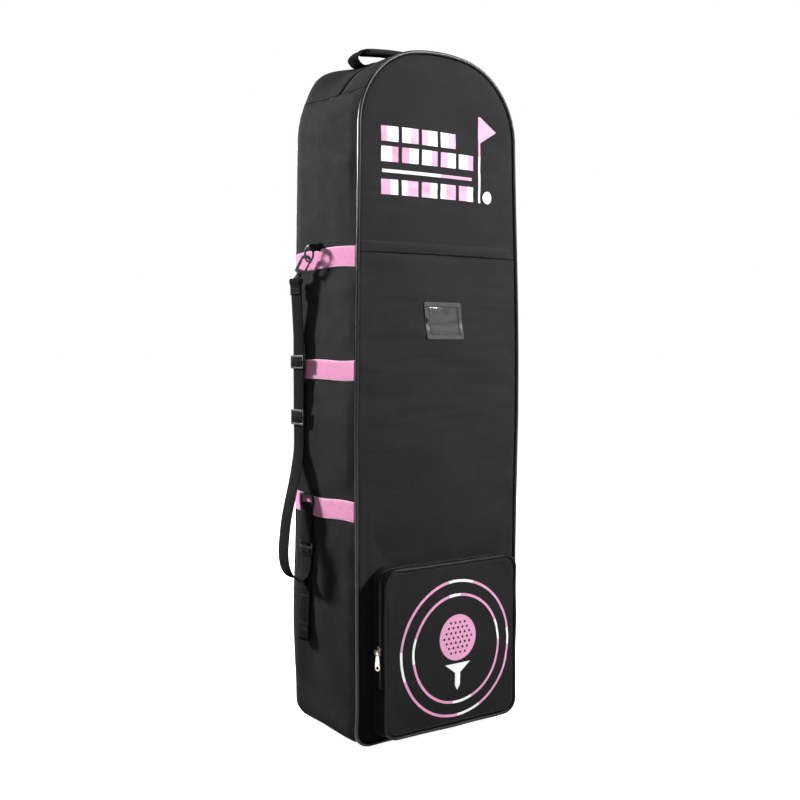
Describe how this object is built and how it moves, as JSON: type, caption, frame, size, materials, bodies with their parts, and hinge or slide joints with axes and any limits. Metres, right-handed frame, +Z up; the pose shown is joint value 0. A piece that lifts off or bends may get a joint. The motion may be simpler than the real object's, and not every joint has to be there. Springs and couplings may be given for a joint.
{
  "type": "golf travel case",
  "caption": "Tall soft golf bag travel case with an arched top, wraparound zipper, front pocket, shoulder strap, top handle and in-line wheels at the base.",
  "frame": {"origin": "middle of the flat underside of the base guard, on the floor", "axes": "+Z up the case, -Y out of the front with the pocket, +X to the right seen from the front"},
  "size_m": [0.4348, 0.3154, 1.324],
  "materials": {
    "fabric_charcoal": "oxford weave, semi matte",
    "fabric_dark": "oxford weave, semi matte",
    "piping": "glossy vinyl piping",
    "guard_plastic": "satin moulded plastic",
    "base_board": "stiffener board",
    "steel": "satin",
    "zipper": "woven tape with nylon coil",
    "pink_webbing": "pink polyester webbing",
    "black_webbing": "black polyester webbing",
    "black_metal": "black plated",
    "wheel_plastic": "satin",
    "wheel_rubber": "matt",
    "zip_metal": "pale nickel",
    "id_vinyl": "embossed vinyl",
    "id_clear": "clear vinyl film",
    "print_white": "screen print",
    "print_pink": "screen print"
  },
  "bodies": {
    "root": {"back_panel": "fabric_dark", "left_gusset_rear": "fabric_charcoal", "top_gusset_rear": "fabric_charcoal", "right_gusset_rear": "fabric_charcoal", "bottom_gusset_rear": "fabric_dark", "rear_piping": "piping", "base_guard": "guard_plastic", "base_board": "base_board", "wheel_housings": "guard_plastic", "axle_pins": "steel", "axle_nuts": "steel", "rear_zip_half": "zipper", "rear_bands": "pink_webbing", "inner_straps": "black_webbing", "inner_buckles": "guard_plastic", "ring_tab": "black_webbing", "upper_ring": "black_metal", "swivel_eye": "black_metal", "shoulder_strap": "black_webbing", "adjuster_buckle": "guard_plastic", "adjuster_strap": "black_webbing", "lower_ring": "guard_plastic", "lower_ring_tab": "pink_webbing", "strap_tail": "black_webbing"},
    "left_wheel": {"left_wheel_hub": "wheel_plastic", "left_tyre": "wheel_rubber", "left_bearings": "steel"},
    "right_wheel": {"right_wheel_hub": "wheel_plastic", "right_tyre": "wheel_rubber", "right_bearings": "steel"},
    "strap_keeper": {"strap_keeper": "guard_plastic"},
    "strap_slider": {"strap_slider": "guard_plastic"},
    "snap_hook": {"snap_hook": "black_metal"},
    "hook_gate": {"hook_gate": "black_metal"},
    "main_slider": {"main_zip_slider": "zip_metal"},
    "main_pull": {"main_zip_pull": "zip_metal"},
    "lid": {"hood_panel": "fabric_charcoal", "front_panel": "fabric_dark", "left_gusset_front": "fabric_charcoal", "top_gusset_front": "fabric_charcoal", "right_gusset_front": "fabric_charcoal", "bottom_gusset_front": "fabric_dark", "front_piping": "piping", "front_skid": "guard_plastic", "front_zip_half": "zipper", "front_bands": "pink_webbing", "id_frame": "id_vinyl", "id_window": "id_clear", "hood_print": "print_white", "pocket_gusset_rear": "fabric_dark", "pocket_zip_rear": "zipper"},
    "handle": {"handle_strap": "black_webbing", "handle_grip": "black_webbing"},
    "pocket_door": {"pocket_front": "fabric_dark", "pocket_gusset_front": "fabric_dark", "pocket_piping": "piping", "pocket_zip_front": "zipper", "pocket_print": "print_pink"},
    "pocket_slider": {"pocket_slider": "zip_metal"},
    "pocket_pull": {"pocket_pull": "zip_metal"}
  },
  "joints": [
    {"name": "lid_hinge", "type": "hinge", "parent": "root", "child": "lid", "pos_m": [-0.1955, -0.04, 0.6], "axis": [0, 0, 1], "range_deg": [-105, 0]},
    {"name": "pocket_hinge", "type": "hinge", "parent": "lid", "child": "pocket_door", "pos_m": [0, -0.15425, 0.018], "axis": [1, 0, 0], "range_deg": [0, 30]},
    {"name": "handle_tilt", "type": "hinge", "parent": "root", "child": "handle", "pos_m": [0, -0.006, 1.2786], "axis": [1, 0, 0], "range_deg": [-20, 20], "stiffness_Nm_per_rad": 0.6},
    {"name": "left_wheel_spin", "type": "hinge", "parent": "root", "child": "left_wheel", "pos_m": [-0.128, 0.104, 0.0358], "axis": [1, 0, 0], "continuous": true},
    {"name": "right_wheel_spin", "type": "hinge", "parent": "root", "child": "right_wheel", "pos_m": [0.128, 0.104, 0.0358], "axis": [1, 0, 0], "continuous": true},
    {"name": "pocket_slider_travel", "type": "slide", "parent": "lid", "child": "pocket_slider", "axis": [0, 0, 1], "range_m": [-0.07, 0.1]},
    {"name": "pocket_pull_swing", "type": "hinge", "parent": "pocket_slider", "child": "pocket_pull", "pos_m": [-0.1622, -0.15425, 0.1809], "axis": [-0.1392, 0.9903, 0], "range_deg": [0, 160]},
    {"name": "main_slider_travel", "type": "slide", "parent": "root", "child": "main_slider", "axis": [-0.0146, 0, 0.9999], "range_m": [-0.02, 0.45]},
    {"name": "main_pull_swing", "type": "hinge", "parent": "main_slider", "child": "main_pull", "pos_m": [0.19512, -0.04, 0.6369], "axis": [0, -1, 0], "range_deg": [0, 160]},
    {"name": "hook_swivel", "type": "hinge", "parent": "root", "child": "snap_hook", "pos_m": [-0.206, 0.062, 0.874], "axis": [0, -0.7193, 0.6947], "range_deg": [-12, 12]},
    {"name": "hook_gate_pivot", "type": "hinge", "parent": "snap_hook", "child": "hook_gate", "pos_m": [-0.19929, 0.03463, 0.89547], "axis": [-0.4695, -0.6133, -0.6351], "range_deg": [0, 18], "stiffness_Nm_per_rad": 0.05},
    {"name": "keeper_travel", "type": "slide", "parent": "root", "child": "strap_keeper", "axis": [0, 0, 1], "range_m": [-0.06, 0.03]},
    {"name": "strap_slider_travel", "type": "slide", "parent": "root", "child": "strap_slider", "axis": [0, 0, 1], "range_m": [-0.03, 0.04]}
  ]
}
